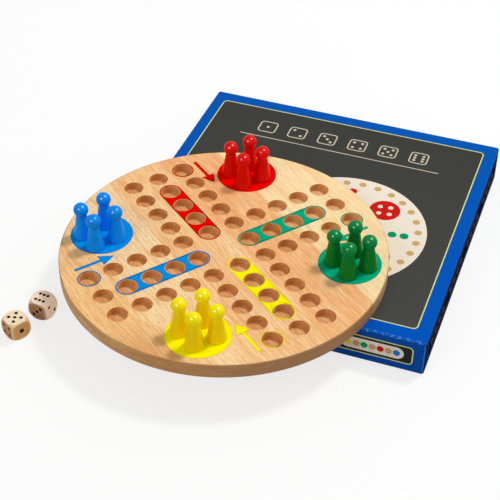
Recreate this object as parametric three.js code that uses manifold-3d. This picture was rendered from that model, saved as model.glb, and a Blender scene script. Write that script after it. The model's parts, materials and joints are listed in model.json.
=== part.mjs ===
// A boxed ludo game. A carton tray is closed by a lift-off lid. On the lid lies a round wooden
// board with drilled holes and printed colour fields, which carries sixteen pawns. Two wooden
// dice lie on the table beside the box.
// Millimetres, +Z up. The origin is the centre of the tray's underside, and +Y is the box's back.
import * as THREE from "three";
import { mergeVertices } from "three/addons/utils/BufferGeometryUtils.js";
import Module from "manifold-3d";

// The board and its holes. An arm of the cross has a middle line and a line on each side of it.
const holePitch = 20;
const crossOffset = 22.7; // from the board's centre to the first row, and to the side lines
const armRows = 5;
const goalRows = 4; // the rows of the middle line that are goal holes
const holeDiameter = 15.2;
const holeDepth = 6;
const boardThickness = 12;
const boardEdgeRounding = 0.8;
const rimMargin = 5.3; // bare wood between the outermost print or hole and the rim

// The printed fields
const inkThickness = 0.2;
const inkBackoff = 0.35; // bare ring that the print leaves round a hole
const goalBorder = 1.4; // print beyond the goal holes on each side
const startBorder = 1.2; // print beyond the start hole
const homeBorder = 3.5; // print beyond the pawns that stand on a home disc
const homeSetback = 31.7; // from the last row back to the middle of the home disc
const homeArrowGap = 4.1; // from the arrow's middle line to the home disc
const arrowHoleGap = 0.4; // from the arrow's head to the side line's holes
const arrowOverhang = 4.9; // from the last row out to the arrow's tail
const arrowLength = 32.4;
const arrowHeadLength = 10.8;
const arrowHeadWidth = 11.2;
const arrowShaftWidth = 2.6;

// The pawns
const pawnHolePlay = 0.2; // round a pawn's base when it stands in a hole
const pawnGap = 3.6; // between the bases of neighbours on a home disc
const pawnHeight = 30.5;
const pawnBallDiameter = 11.4;
const pawnNeckDiameter = 8;
const pawnFootHeight = 1.2;
const pawnFootRounding = 0.5;
const pawnFlarePower = 1.1; // above 1 the cone's flanks are hollow

// The dice
const dieSize = 16;
const dieFaceDiameter = 16.2; // of the flats; a little over the size, so that they meet in short edges
const pipDiameter = 2.7;
const acePipDiameter = 3.9;
const pipDepth = 0.5;
const pipOffset = 3.3; // from a face's middle to its corner pips, each way
const pipFloorShare = 0.55; // of the pip's width
const frontDieRimGap = 37.4; // from the board's rim, seen from above
const frontDieBearing = 217.2; // degrees, seen from the board's centre
const frontDieTurn = -29.6;
const backDieRimGap = 15.2;
const backDieBearing = 210.7;
const backDieTurn = -5.5;

// The carton
const cartonWall = 1.2;
const cartonCornerRounding = 2;
const lidEdgeRounding = 1.5;
const boardPlay = 0.5; // round the board when it lies in the tray
const headroom = 0.4; // over the dice when they lie on the board in the closed box
const lidPlay = 0.4; // between the tray's walls and the lid's skirt
const skirtLift = 1; // from the table to the lid's skirt
const restGap = 0.05; // under each piece that lies loose on another
const boardShiftX = -39.5; // from the middle of the lid to the middle of the board
const boardShiftY = -92;
const boardTurn = 52; // degrees

const cutOverrun = 1;
const boardSides = 96;
const holeSides = 16;
const homeSides = 40;
const pawnSides = 12;
const coneSteps = 4;
const ballSteps = 5;
const ballSides = 20;
const ballRings = 12;
const pipSides = 8;
const cornerSteps = 3;

const colours = [
  { name: "green", quarter: 0, ink: 0x00a67a, lacquer: 0x0b6b38 },
  { name: "red", quarter: 1, ink: 0xe00000, lacquer: 0xb80d14 },
  { name: "blue", quarter: 2, ink: 0x0087d8, lacquer: 0x0a70cc },
  { name: "yellow", quarter: 3, ink: 0xfff000, lacquer: 0xf2dc00 },
];

// Where the pawns stand on a home disc, set down by hand near the corners of a square: shares of
// half the square's side, along the arm and across it.
const standShares = {
  green: [
    [-1.11, 0.8],
    [0.98, 0.85],
    [0.88, -1.25],
    [-1.05, -1.15],
  ],
  red: [
    [0.84, 1.11],
    [0.81, -0.81],
    [-1.2, -0.86],
    [-1.2, 1.09],
  ],
  blue: [
    [1.39, -0.63],
    [-0.82, -0.9],
    [-0.82, 1.18],
    [1.21, 1.27],
  ],
  yellow: [
    [-1.01, -1.03],
    [-0.97, 1.03],
    [1.09, 1.04],
    [0.92, -0.87],
  ],
};

// The finishes that all sides share
const boardWood = { color: 0xe3b883, roughness: 0.45 };
const dieWood = { color: 0xdcc39a, roughness: 0.5 };
const printedCarton = { color: 0x0b4fb3, roughness: 0.4 };
const greyCarton = { color: 0xb9b4a8, roughness: 0.8 };
const inkRoughness = 0.5;
const lacquerRoughness = 0.25;

const quarterTurn = Math.PI / 2;
const fullTurn = 2 * Math.PI;

// Sizes that follow from the ones above
const holeRadius = holeDiameter / 2;
const lastRow = rowAt(armRows - 1);
const pawnBaseRadius = holeRadius - pawnHolePlay;
const pawnOffset = pawnBaseRadius + pawnGap / 2;
const homeRadius = Math.hypot(pawnOffset, pawnOffset) + pawnBaseRadius + homeBorder;
const arrowLane = crossOffset + holeRadius + arrowHoleGap + arrowHeadWidth / 2;
const homeAlong = lastRow - homeSetback;
const homeAcross = arrowLane + homeArrowGap + homeRadius;
const boardRadius =
  rimMargin +
  Math.max(
    Math.hypot(homeAlong, homeAcross) + homeRadius,
    Math.hypot(lastRow, crossOffset) + holeRadius,
  );
const trayInside = 2 * (boardRadius + boardPlay);
const trayOutside = trayInside + 2 * cartonWall;
const trayDepth =
  boardThickness + inkThickness + Math.max(dieSize, 2 * pawnBaseRadius) + headroom;
const trayHeight = cartonWall + trayDepth;
const lidInside = trayOutside + 2 * lidPlay;
const lidOutside = lidInside + 2 * cartonWall;
const lidCeiling = trayHeight + restGap;
const lidTop = lidCeiling + cartonWall;

const wasm = await Module();
wasm.setup();

// The distance of a row of holes from the board's centre, counted from 0.
function rowAt(index) {
  return crossOffset + index * holePitch;
}

function solidOf(geometry) {
  const bare = geometry.clone();
  bare.deleteAttribute("normal");
  bare.deleteAttribute("uv");
  const merged = mergeVertices(bare);
  return new wasm.Manifold(
    new wasm.Mesh({
      numProp: 3,
      vertProperties: merged.attributes.position.array,
      triVerts: new Uint32Array(merged.index.array),
    }),
  );
}

function geometryOf(solid) {
  const mesh = solid.getMesh();
  const indexed = new THREE.BufferGeometry();
  indexed.setAttribute("position", new THREE.BufferAttribute(mesh.vertProperties, 3));
  indexed.setIndex(new THREE.BufferAttribute(mesh.triVerts, 1));
  const geometry = indexed.toNonIndexed();
  geometry.computeVertexNormals();
  return geometry;
}

// A solid of revolution about Z from a profile of radius and height that runs from the lower
// end of the axis to its upper end.
function turnedSolid(profile, sides) {
  const points = profile.map(([radius, height]) => new THREE.Vector2(radius, height));
  return new THREE.LatheGeometry(points, sides).rotateX(quarterTurn);
}

function arcPoints(x, y, radius, from, to, steps) {
  return Array.from({ length: steps + 1 }, (_, i) => {
    const angle = from + ((to - from) * i) / steps;
    return new THREE.Vector2(x + radius * Math.cos(angle), y + radius * Math.sin(angle));
  });
}

function circlePoints(x, y, radius, sides) {
  return arcPoints(x, y, radius, 0, fullTurn, sides).slice(0, sides);
}

// A flat plate of ink that stands on the plane z = 0.
function inkPlate(outline, holes = []) {
  const shape = new THREE.Shape(outline);
  shape.holes = holes.map((points) => new THREE.Path(points));
  return new THREE.ExtrudeGeometry(shape, { depth: inkThickness, bevelEnabled: false });
}

// A square block with rounded upright corners. Each of its levels, listed from the bottom up, is
// a height and the distance by which the block is drawn in there.
function cartonBlock(side, levels) {
  const rings = levels.map(([height, inset]) => {
    const radius = Math.max(cartonCornerRounding - inset, 0);
    const middle = side / 2 - inset - radius;
    const corners = [0, 1, 2, 3].flatMap((quarter) => {
      const from = quarter * quarterTurn;
      const x = quarter === 0 || quarter === 3 ? middle : -middle;
      const y = quarter < 2 ? middle : -middle;
      return arcPoints(x, y, radius, from, from + quarterTurn, cornerSteps);
    });
    return corners.map((point) => new THREE.Vector3(point.x, point.y, height));
  });
  return loft(rings);
}

// A closed surface through rings of as many points each, listed from the bottom up.
function loft(rings) {
  const count = rings[0].length;
  const corners = [];
  const addFan = (ring, step) => {
    const centre = new THREE.Vector3(0, 0, ring[0].z);
    ring.forEach((point, i) => {
      const next = ring[(i + 1) % count];
      corners.push(centre, step > 0 ? point : next, step > 0 ? next : point);
    });
  };
  addFan(rings[0], -1);
  for (let level = 0; level + 1 < rings.length; level += 1) {
    for (let i = 0; i < count; i += 1) {
      const next = (i + 1) % count;
      const [a, b] = [rings[level][i], rings[level][next]];
      const [c, d] = [rings[level + 1][next], rings[level + 1][i]];
      corners.push(a, b, c, a, c, d);
    }
  }
  addFan(rings[rings.length - 1], 1);
  return new THREE.BufferGeometry().setFromPoints(corners);
}

function hollowBlock(side, bottom, top) {
  return new THREE.BoxGeometry(side, side, top - bottom).translate(0, 0, (bottom + top) / 2);
}

function trayGeometry() {
  const block = cartonBlock(trayOutside, [
    [0, 0],
    [trayHeight, 0],
  ]);
  const hollow = hollowBlock(trayInside, cartonWall, trayHeight + cutOverrun);
  return geometryOf(solidOf(block).subtract(solidOf(hollow)));
}

function lidGeometry() {
  const levels = [[skirtLift, 0]];
  for (let i = 0; i <= cornerSteps; i += 1) {
    const angle = (quarterTurn * i) / cornerSteps;
    const rise = lidEdgeRounding * Math.sin(angle);
    levels.push([lidTop - lidEdgeRounding + rise, lidEdgeRounding * (1 - Math.cos(angle))]);
  }
  const block = cartonBlock(lidOutside, levels);
  const hollow = hollowBlock(lidInside, skirtLift - cutOverrun, lidCeiling);
  return geometryOf(solidOf(block).subtract(solidOf(hollow)));
}

// The holes of one arm that points along +X: both side lines and the middle line. The far side
// line leaves out its first hole, which belongs to the next arm.
function armHoles() {
  const places = [];
  for (let row = 0; row < armRows; row += 1) {
    places.push([rowAt(row), -crossOffset], [rowAt(row), 0]);
    if (row > 0) {
      places.push([rowAt(row), crossOffset]);
    }
  }
  return places;
}

function boardGeometry() {
  const profile = [
    [0, 0],
    [boardRadius - boardEdgeRounding, 0],
    [boardRadius, boardEdgeRounding],
    [boardRadius, boardThickness - boardEdgeRounding],
    [boardRadius - boardEdgeRounding, boardThickness],
    [0, boardThickness],
  ];
  let board = solidOf(turnedSolid(profile, boardSides));
  const length = holeDepth + cutOverrun;
  for (const { quarter } of colours) {
    for (const [x, y] of armHoles()) {
      const drill = new THREE.CylinderGeometry(holeRadius, holeRadius, length, holeSides);
      drill.rotateX(quarterTurn);
      drill.translate(x, y, boardThickness - holeDepth + length / 2);
      drill.rotateZ(quarter * quarterTurn);
      board = board.subtract(solidOf(drill));
    }
  }
  return geometryOf(board);
}

function homeDisc() {
  return inkPlate(circlePoints(homeAlong, -homeAcross, homeRadius, homeSides));
}

function goalStrip() {
  const radius = holeRadius + goalBorder;
  const outline = [
    ...arcPoints(rowAt(goalRows - 1), 0, radius, -quarterTurn, quarterTurn, holeSides / 2),
    ...arcPoints(rowAt(0), 0, radius, quarterTurn, 3 * quarterTurn, holeSides / 2),
  ];
  const holes = Array.from({ length: goalRows }, (_, row) =>
    circlePoints(rowAt(row), 0, holeRadius + inkBackoff, holeSides),
  );
  return inkPlate(outline, holes);
}

function startRing() {
  const outline = circlePoints(lastRow, -crossOffset, holeRadius + startBorder, holeSides);
  const hole = circlePoints(lastRow, -crossOffset, holeRadius + inkBackoff, holeSides);
  return inkPlate(outline, [hole]);
}

function startArrow() {
  const tail = lastRow + arrowOverhang;
  const tip = tail - arrowLength;
  const barb = tip + arrowHeadLength;
  const lane = -arrowLane;
  return inkPlate([
    new THREE.Vector2(tip, lane),
    new THREE.Vector2(barb, lane - arrowHeadWidth / 2),
    new THREE.Vector2(barb, lane - arrowShaftWidth / 2),
    new THREE.Vector2(tail, lane - arrowShaftWidth / 2),
    new THREE.Vector2(tail, lane + arrowShaftWidth / 2),
    new THREE.Vector2(barb, lane + arrowShaftWidth / 2),
    new THREE.Vector2(barb, lane + arrowHeadWidth / 2),
  ]);
}

// A turned pawn that stands on the plane z = 0: a thin foot, a cone and a ball.
function pawnGeometry() {
  const ball = pawnBallDiameter / 2;
  const ballHeight = pawnHeight - ball;
  const neck = pawnNeckDiameter / 2;
  const neckAngle = Math.asin(neck / ball);
  const neckHeight = ballHeight - ball * Math.cos(neckAngle);
  const profile = [
    [0, 0],
    [pawnBaseRadius - pawnFootRounding, 0],
    [pawnBaseRadius, pawnFootRounding],
  ];
  for (let i = 0; i < coneSteps; i += 1) {
    const rise = i / coneSteps;
    const radius = neck + (pawnBaseRadius - neck) * (1 - rise) ** pawnFlarePower;
    profile.push([radius, pawnFootHeight + (neckHeight - pawnFootHeight) * rise]);
  }
  for (let i = 0; i < ballSteps; i += 1) {
    const angle = neckAngle + ((Math.PI - neckAngle) * i) / ballSteps;
    profile.push([ball * Math.sin(angle), ballHeight - ball * Math.cos(angle)]);
  }
  profile.push([0, pawnHeight]);
  return turnedSolid(profile, pawnSides);
}

// Each face of a die: its outward axis, and the places of its pips as multiples of the pip offset
// along the other two axes. Opposite faces add up to seven.
const diagonal = [
  [-1, -1],
  [1, 1],
];
const otherDiagonal = [
  [-1, 1],
  [1, -1],
];
const sideMiddles = [
  [-1, 0],
  [1, 0],
];
const dieFaces = [
  { outward: [1, 0, 0], pips: [[0, 0]] },
  { outward: [0, 1, 0], pips: diagonal },
  { outward: [0, 0, 1], pips: [...otherDiagonal, [0, 0]] },
  { outward: [0, 0, -1], pips: [...diagonal, ...otherDiagonal] },
  { outward: [0, -1, 0], pips: [...diagonal, ...otherDiagonal, [0, 0]] },
  { outward: [-1, 0, 0], pips: [...diagonal, ...otherDiagonal, ...sideMiddles] },
];

function dieGeometry() {
  const half = dieSize / 2;
  const cube = new THREE.BoxGeometry(dieSize, dieSize, dieSize);
  const cornerRadius = Math.hypot(half, dieFaceDiameter / 2);
  const ball = new THREE.SphereGeometry(cornerRadius, ballSides, ballRings);
  let die = solidOf(cube).intersect(solidOf(ball));
  for (const { outward, pips } of dieFaces) {
    const normal = new THREE.Vector3(...outward);
    const toFace = new THREE.Quaternion().setFromUnitVectors(new THREE.Vector3(0, 0, 1), normal);
    const radius = (pips.length === 1 ? acePipDiameter : pipDiameter) / 2;
    for (const [along, across] of pips) {
      const profile = [
        [0, -pipDepth],
        [radius * pipFloorShare, -pipDepth],
        [radius, 0],
        [radius, cutOverrun],
        [0, cutOverrun],
      ];
      const pip = turnedSolid(profile, pipSides);
      pip.translate(along * pipOffset, across * pipOffset, half);
      pip.applyQuaternion(toFace);
      die = die.subtract(solidOf(pip));
    }
  }
  return geometryOf(die);
}

function makeMesh(name, geometry, finish) {
  const material = new THREE.MeshStandardMaterial({ ...finish, metalness: 0 });
  const mesh = new THREE.Mesh(geometry, material);
  mesh.name = name;
  return mesh;
}

// A side of the board: its four prints, and its four pawns on the home disc.
function makeSide({ name, quarter, ink, lacquer }) {
  const side = new THREE.Group();
  side.rotation.z = quarter * quarterTurn;
  const inkFinish = { color: ink, roughness: inkRoughness };
  const lacquerFinish = { color: lacquer, roughness: lacquerRoughness };
  const prints = [
    ["home_disc", homeDisc()],
    ["goal_strip", goalStrip()],
    ["start_ring", startRing()],
    ["start_arrow", startArrow()],
  ];
  for (const [label, geometry] of prints) {
    side.add(makeMesh(`${label}_${name}`, geometry, inkFinish));
  }
  standShares[name].forEach(([along, across], index) => {
    const pawn = makeMesh(`pawn_${name}_${index + 1}`, pawnGeometry(), lacquerFinish);
    pawn.position.set(
      homeAlong + along * pawnOffset,
      -homeAcross + across * pawnOffset,
      inkThickness + restGap,
    );
    side.add(pawn);
  });
  return side;
}

function makeBoard() {
  const group = new THREE.Group();
  group.position.set(boardShiftX, boardShiftY, lidTop + restGap);
  group.rotation.z = THREE.MathUtils.degToRad(boardTurn);
  group.add(makeMesh("board", boardGeometry(), boardWood));
  const face = new THREE.Group();
  face.position.z = boardThickness;
  face.add(...colours.map(makeSide));
  group.add(face);
  return group;
}

// A die on the table beside the board. axesOf gives the die's own X, Y and Z directions from the
// directions of its right face, its left face and its top.
function makeDie(name, rimGap, bearing, turn, axesOf) {
  const die = makeMesh(name, dieGeometry(), dieWood);
  const angle = THREE.MathUtils.degToRad(turn);
  const right = new THREE.Vector3(Math.cos(angle), Math.sin(angle), 0);
  const left = new THREE.Vector3(Math.sin(angle), -Math.cos(angle), 0);
  const up = new THREE.Vector3(0, 0, 1);
  const basis = new THREE.Matrix4().makeBasis(...axesOf(right, left, up));
  die.quaternion.setFromRotationMatrix(basis);
  const distance = boardRadius + rimGap;
  const direction = THREE.MathUtils.degToRad(bearing);
  die.position.set(
    boardShiftX + distance * Math.cos(direction),
    boardShiftY + distance * Math.sin(direction),
    dieSize / 2,
  );
  return die;
}

const game = new THREE.Group();
game.add(makeMesh("box_tray", trayGeometry(), greyCarton));
game.add(makeMesh("box_lid", lidGeometry(), printedCarton));
game.add(makeBoard());
game.add(
  makeDie("die_front", frontDieRimGap, frontDieBearing, frontDieTurn, (right, left, up) => [
    right,
    up.clone().negate(),
    left.clone().negate(),
  ]),
);
game.add(
  makeDie("die_back", backDieRimGap, backDieBearing, backDieTurn, (right, left, up) => [
    up.clone().negate(),
    right,
    left,
  ]),
);

export default game;
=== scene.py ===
"""A boxed ludo game: a printed carton, a round beech board, sixteen pawns and two dice.

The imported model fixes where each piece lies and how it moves. The classes below build the finer
pieces round it. Their sizes are in millimetres, and meshes are made in metres.
"""

import json
import logging
import math
from collections.abc import Callable, Sequence
from dataclasses import dataclass
from enum import Enum

import bmesh
import bpy
from mathutils import Matrix, Vector
from mathutils.geometry import tessellate_polygon

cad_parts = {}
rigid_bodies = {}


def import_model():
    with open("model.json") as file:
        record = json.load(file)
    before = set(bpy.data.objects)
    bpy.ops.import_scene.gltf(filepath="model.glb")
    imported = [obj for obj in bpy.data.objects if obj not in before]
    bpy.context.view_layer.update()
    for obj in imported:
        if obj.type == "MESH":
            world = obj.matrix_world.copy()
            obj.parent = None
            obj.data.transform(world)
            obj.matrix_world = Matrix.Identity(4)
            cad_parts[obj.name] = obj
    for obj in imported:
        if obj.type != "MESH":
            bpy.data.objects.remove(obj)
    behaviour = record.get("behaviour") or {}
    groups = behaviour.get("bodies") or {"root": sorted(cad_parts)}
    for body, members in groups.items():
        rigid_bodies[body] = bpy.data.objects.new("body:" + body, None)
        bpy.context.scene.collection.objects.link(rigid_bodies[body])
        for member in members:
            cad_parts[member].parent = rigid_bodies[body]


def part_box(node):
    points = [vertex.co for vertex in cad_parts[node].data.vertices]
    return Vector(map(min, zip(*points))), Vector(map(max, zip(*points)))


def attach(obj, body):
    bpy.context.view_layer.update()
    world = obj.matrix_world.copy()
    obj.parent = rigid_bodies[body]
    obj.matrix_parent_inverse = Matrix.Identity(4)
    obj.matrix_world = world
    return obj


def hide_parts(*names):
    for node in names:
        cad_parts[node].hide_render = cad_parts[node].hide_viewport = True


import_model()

MM = 0.001
FULL_TURN = 2 * math.pi
QUARTER_TURN = math.pi / 2
PICTURE_PIXELS = 500
BOARD_TURN = math.radians(52)  # from +X to the board's green arm, which the staves cross

log = logging.getLogger("ludo")

Point = tuple[float, float]
Outline = list[Point]


class Side(Enum):
    """The four colours of the game, each with the quarter turn of its arm of the cross."""

    GREEN = ("green", 0)
    RED = ("red", 1)
    BLUE = ("blue", 2)
    YELLOW = ("yellow", 3)

    @property
    def label(self) -> str:
        """The colour's name, as the nodes have it."""
        return self.value[0]

    @property
    def quarter(self) -> int:
        """How many quarter turns the side is away from the first one."""
        return self.value[1]


def linear(code: str) -> tuple[float, float, float, float]:
    """Turns an sRGB hex colour into a linear one.

    Args:
        code: Six hex digits, with or without a leading hash.

    Returns:
        Linear red, green and blue, and an alpha of 1.
    """
    digits = code.lstrip("#")
    shares = [int(digits[i : i + 2], 16) / 255 for i in (0, 2, 4)]
    channels = [s / 12.92 if s <= 0.04045 else ((s + 0.055) / 1.055) ** 2.4 for s in shares]
    return (*channels, 1.0)


def add_node(
    tree: bpy.types.NodeTree, kind: str, links: dict | None = None, **settings: object
) -> bpy.types.Node:
    """Adds a shader node with its settings and links.

    Args:
        tree: The node tree that takes the node.
        kind: The node's type name, without its ShaderNode prefix.
        links: Input names or numbers, each with an output socket to link or a value to set.
        settings: Attributes of the node. stops, for a colour ramp, is a list of places and hex colours.

    Returns:
        The new node.
    """
    node = tree.nodes.new("ShaderNode" + kind)
    for name, value in settings.items():
        if name == "stops":
            elements = node.color_ramp.elements
            while len(elements) < len(value):
                elements.new(1.0)
            for element, (place, code) in zip(elements, value, strict=True):
                element.position = place
                element.color = linear(code)
        else:
            setattr(node, name, value)
    for socket, value in (links or {}).items():
        if isinstance(value, bpy.types.NodeSocket):
            tree.links.new(value, node.inputs[socket])
        else:
            node.inputs[socket].default_value = value
    return node


def start_material(
    name: str, **shader_values: float
) -> tuple[bpy.types.Material, bpy.types.NodeTree, bpy.types.Node]:
    """Makes a material whose Principled shader has the values that are the same all over.

    Args:
        name: The material's name.
        shader_values: Values by input name, with underscores for spaces.

    Returns:
        The material, its node tree and its Principled shader.
    """
    material = bpy.data.materials.new(name)
    material.use_nodes = True
    tree = material.node_tree
    shader = tree.nodes["Principled BSDF"]
    for key, value in shader_values.items():
        shader.inputs[key.replace("_", " ")].default_value = value
    return material, tree, shader


def millimetres(
    tree: bpy.types.NodeTree, stretch: Sequence[float] = (1, 1, 1), turn: float = 0.0
) -> bpy.types.NodeSocket:
    """Gives a piece's own coordinates in millimetres.

    Args:
        tree: The node tree.
        stretch: How long the pattern is along each axis, compared with its plain size.
        turn: How far the pattern is turned about Z, in radians.

    Returns:
        The coordinates, as a vector socket.
    """
    place = add_node(tree, "TexCoord").outputs["Object"]
    links = {"Vector": place, "Rotation": (0, 0, turn), "Scale": [MM * s for s in stretch]}
    return add_node(tree, "Mapping", links, vector_type="TEXTURE").outputs["Vector"]


def lay_tones(
    tree: bpy.types.NodeTree, colour: bpy.types.NodeSocket | tuple, layers: Sequence[tuple]
) -> bpy.types.NodeSocket:
    """Lays tones over a colour, one after another.

    Args:
        tree: The node tree.
        colour: The colour that lies lowest.
        layers: For each tone the value that it follows, where on that it starts and is full, how
            strong it is there, and its hex colour.

    Returns:
        The colour with all the tones, as a socket.
    """
    for value, start, end, strength, tone in layers:
        share = add_node(tree, "MapRange", {"Value": value, 1: start, 2: end, 3: 0.0, 4: strength})
        mixed = {"Factor": share.outputs[0], "A": colour, "B": linear(tone)}
        colour = add_node(tree, "Mix", mixed, data_type="RGBA").outputs["Result"]
    return colour


def colour_and_relief(
    shader: bpy.types.Node,
    colour: bpy.types.NodeSocket,
    height: bpy.types.NodeSocket,
    strength: float,
    depth: float,
    under: bpy.types.Node | None = None,
) -> None:
    """Gives a shader its colour and a fine relief.

    Args:
        shader: The Principled shader.
        colour: Its colour.
        height: The relief's pattern.
        strength: How strong the relief is, from 0 to 1.
        depth: How deep it is, in millimetres.
        under: The bump of a coarser relief that it lies on.
    """
    tree = shader.id_data
    tree.links.new(colour, shader.inputs["Base Color"])
    bump = add_node(tree, "Bump", {"Height": height, "Strength": strength, "Distance": depth * MM})
    tree.links.new(bump.outputs[0], shader.inputs["Normal"])
    if under is not None:
        tree.links.new(under.outputs[0], bump.inputs["Normal"])


class Finish:
    """What a surface is made of and how it was worked. material() makes it once and keeps it."""

    made: dict = {}

    def material(self) -> bpy.types.Material:
        """The finish as a material, made on its first use."""
        if self not in Finish.made:
            Finish.made[self] = self.make()
        return Finish.made[self]

    def make(self) -> bpy.types.Material:
        """Makes the material.

        Returns:
            The new material.
        """
        raise NotImplementedError


@dataclass(frozen=True)
class BeechStaves(Finish):
    """Edge-glued beech staves, planed, sanded and waxed.

    The staves differ in tone. Each has pale and deep streaks along it, fine lines of growth, and
    short faint flecks where the rays are cut. The board darkens towards one spot near its edge.
    Drilled and turned wood is darker where the end grain lies open, on surfaces that face along the
    staves.
    """

    name: str
    tones: tuple[str, ...]
    pale_tone: str
    deep_tone: str
    line_tone: str
    end_grain_tone: str
    roughness: float = 0.5
    first_joint: float = -86.2
    stave_width: float = 48.5
    board_radius: float = 125.0
    patch_size: tuple[float, float, float] = (16.0, 70.0, 30.0)
    streak_size: tuple[float, float, float] = (2.6, 80.0, 14.0)
    line_size: tuple[float, float, float] = (0.75, 16.0, 4.0)  # real lines are finer, and would not show
    fleck_size: tuple[float, float, float] = (0.6, 3.6, 0.8)
    flow_size: float = 60.0
    flow_reach: float = 5.0
    stave_jump: tuple[float, float, float] = (0.0, 310.0, 47.0)  # from one stave's grain to the next one's
    calm_from: float = 59.3  # the pale staves from here on show fewer lines
    calm_width: float = 0.5
    calm_share: float = 0.45
    heart_tone: str = "#c8853e"
    heart_place: tuple[float, float, float] = (-112.0, -82.0, 10.0)
    heart_reach: float = 52.0
    heart_core: float = 15.0

    def stave_tone(self, tree: bpy.types.NodeTree, across: bpy.types.NodeSocket) -> bpy.types.NodeSocket:
        """Gives each stave its plain tone.

        Args:
            tree: The node tree.
            across: The place across the staves.

        Returns:
            The tone of the stave that lies there.
        """
        half = self.board_radius
        share = add_node(tree, "MapRange", {"Value": across, 1: -half, 2: half})
        joints = [self.first_joint + i * self.stave_width for i in range(len(self.tones) - 1)]
        places = [0.0] + [(joint + half) / (2 * half) for joint in joints]
        stops = list(zip(places, self.tones, strict=True))
        tone = add_node(tree, "ValToRGB", {0: share.outputs[0]}, stops=stops)
        tone.color_ramp.interpolation = "CONSTANT"
        return tone.outputs[0]

    def flow(
        self, tree: bpy.types.NodeTree, place: bpy.types.NodeSocket, across: bpy.types.NodeSocket
    ) -> bpy.types.NodeSocket:
        """Makes the grain start anew in each stave and wander a little along it.

        Args:
            tree: The node tree.
            place: The place on the board.
            across: How far it lies across the staves.

        Returns:
            The place with those jumps and bends in it.
        """
        second = self.first_joint + self.stave_width
        count = add_node(tree, "MapRange", {"Value": across, 1: self.first_joint, 2: second}, clamp=False)
        stave = add_node(tree, "Math", {0: count.outputs[0]}, operation="FLOOR").outputs[0]
        jump = add_node(tree, "CombineXYZ", {"X": 0.0, "Y": stave, "Z": stave})
        far = add_node(tree, "VectorMath", {0: jump.outputs[0], 1: self.stave_jump}, operation="MULTIPLY")
        own = add_node(tree, "VectorMath", {0: place, 1: far.outputs[0]}, operation="ADD").outputs[0]
        wander = add_node(tree, "TexNoise", {"Vector": own, "Scale": 1 / self.flow_size, "Detail": 1.0})
        reach = self.flow_reach
        bend = add_node(tree, "MapRange", {"Value": wander.outputs["Fac"], 3: -reach, 4: reach})
        aside = add_node(tree, "CombineXYZ", {"X": bend.outputs[0]})
        return add_node(tree, "VectorMath", {0: own, 1: aside.outputs[0]}, operation="ADD").outputs[0]

    def make(self) -> bpy.types.Material:
        """Makes the material.

        Returns:
            The new material.
        """
        material, tree, shader = start_material(
            self.name, Roughness=self.roughness, IOR=1.5, Specular_IOR_Level=0.25
        )
        place = millimetres(tree, turn=BOARD_TURN)
        across = add_node(tree, "SeparateXYZ", {0: place}).outputs["X"]
        colour = self.stave_tone(tree, across)
        flow = self.flow(tree, place, across)

        grain = []
        for size, detail in (
            (self.patch_size, 2.0),
            (self.streak_size, 2.0),
            (self.line_size, 4.0),
            (self.fleck_size, 1.0),
        ):
            spot = add_node(tree, "VectorMath", {0: flow, 1: size}, operation="DIVIDE").outputs[0]
            links = {"Vector": spot, "Scale": 1.0, "Detail": detail, "Roughness": 0.6}
            grain.append(add_node(tree, "TexNoise", links).outputs["Fac"])
        patches, streaks, lines, flecks = grain
        along = (-math.sin(BOARD_TURN), math.cos(BOARD_TURN), 0)
        ways = {0: add_node(tree, "TexCoord").outputs["Normal"], 1: along}
        facing = add_node(tree, "VectorMath", ways, operation="DOT_PRODUCT").outputs["Value"]
        end_grain = add_node(tree, "Math", {0: facing, 1: facing}, operation="MULTIPLY").outputs[0]
        ends = {0: place, 1: self.heart_place}
        dark_spot_distance = add_node(tree, "VectorMath", ends, operation="DISTANCE").outputs["Value"]
        calm = {"Value": across, 1: self.calm_from, 2: self.calm_from + self.calm_width}
        strong, middling, faint = (
            add_node(tree, "MapRange", {**calm, 3: full, 4: full * self.calm_share}).outputs[0]
            for full in (0.85, 0.6, 0.5)
        )
        layers = (
            (dark_spot_distance, self.heart_reach, self.heart_core, 0.75, self.heart_tone),
            (patches, 0.5, 0.68, 0.5, self.pale_tone),
            (patches, 0.5, 0.32, 0.5, self.deep_tone),
            (streaks, 0.52, 0.7, 0.35, self.pale_tone),
            (streaks, 0.5, 0.3, 0.4, self.line_tone),
            (lines, 0.5, 0.66, strong, self.line_tone),
            (lines, 0.46, 0.34, faint, self.pale_tone),
            (flecks, 0.54, 0.72, middling, self.line_tone),
            (end_grain, 0.1, 1.0, 0.8, self.end_grain_tone),
        )
        colour_and_relief(shader, lay_tones(tree, colour, layers), lines, 0.15, 0.1)
        return material


@dataclass(frozen=True)
class ScreenInk(Finish):
    """Screen ink, printed on sanded wood.

    It lies even and satin, with the wood's fibre just showing through as a faint unevenness.
    """

    name: str
    tone: str
    deep_tone: str
    roughness: float = 0.45
    fibre_size: float = 0.9

    def make(self) -> bpy.types.Material:
        """Makes the material.

        Returns:
            The new material.
        """
        material, tree, shader = start_material(
            self.name, Roughness=self.roughness, IOR=1.5, Specular_IOR_Level=0.0
        )
        place = millimetres(tree, (self.fibre_size, 9 * self.fibre_size, self.fibre_size), BOARD_TURN)
        fibre = add_node(tree, "TexNoise", {"Vector": place, "Scale": 1.0, "Detail": 3.0})
        height = fibre.outputs["Fac"]
        colour = lay_tones(tree, linear(self.tone), [(height, 0.45, 0.85, 0.5, self.deep_tone)])
        colour_and_relief(shader, colour, height, 0.1, 0.05)
        return material


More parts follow.
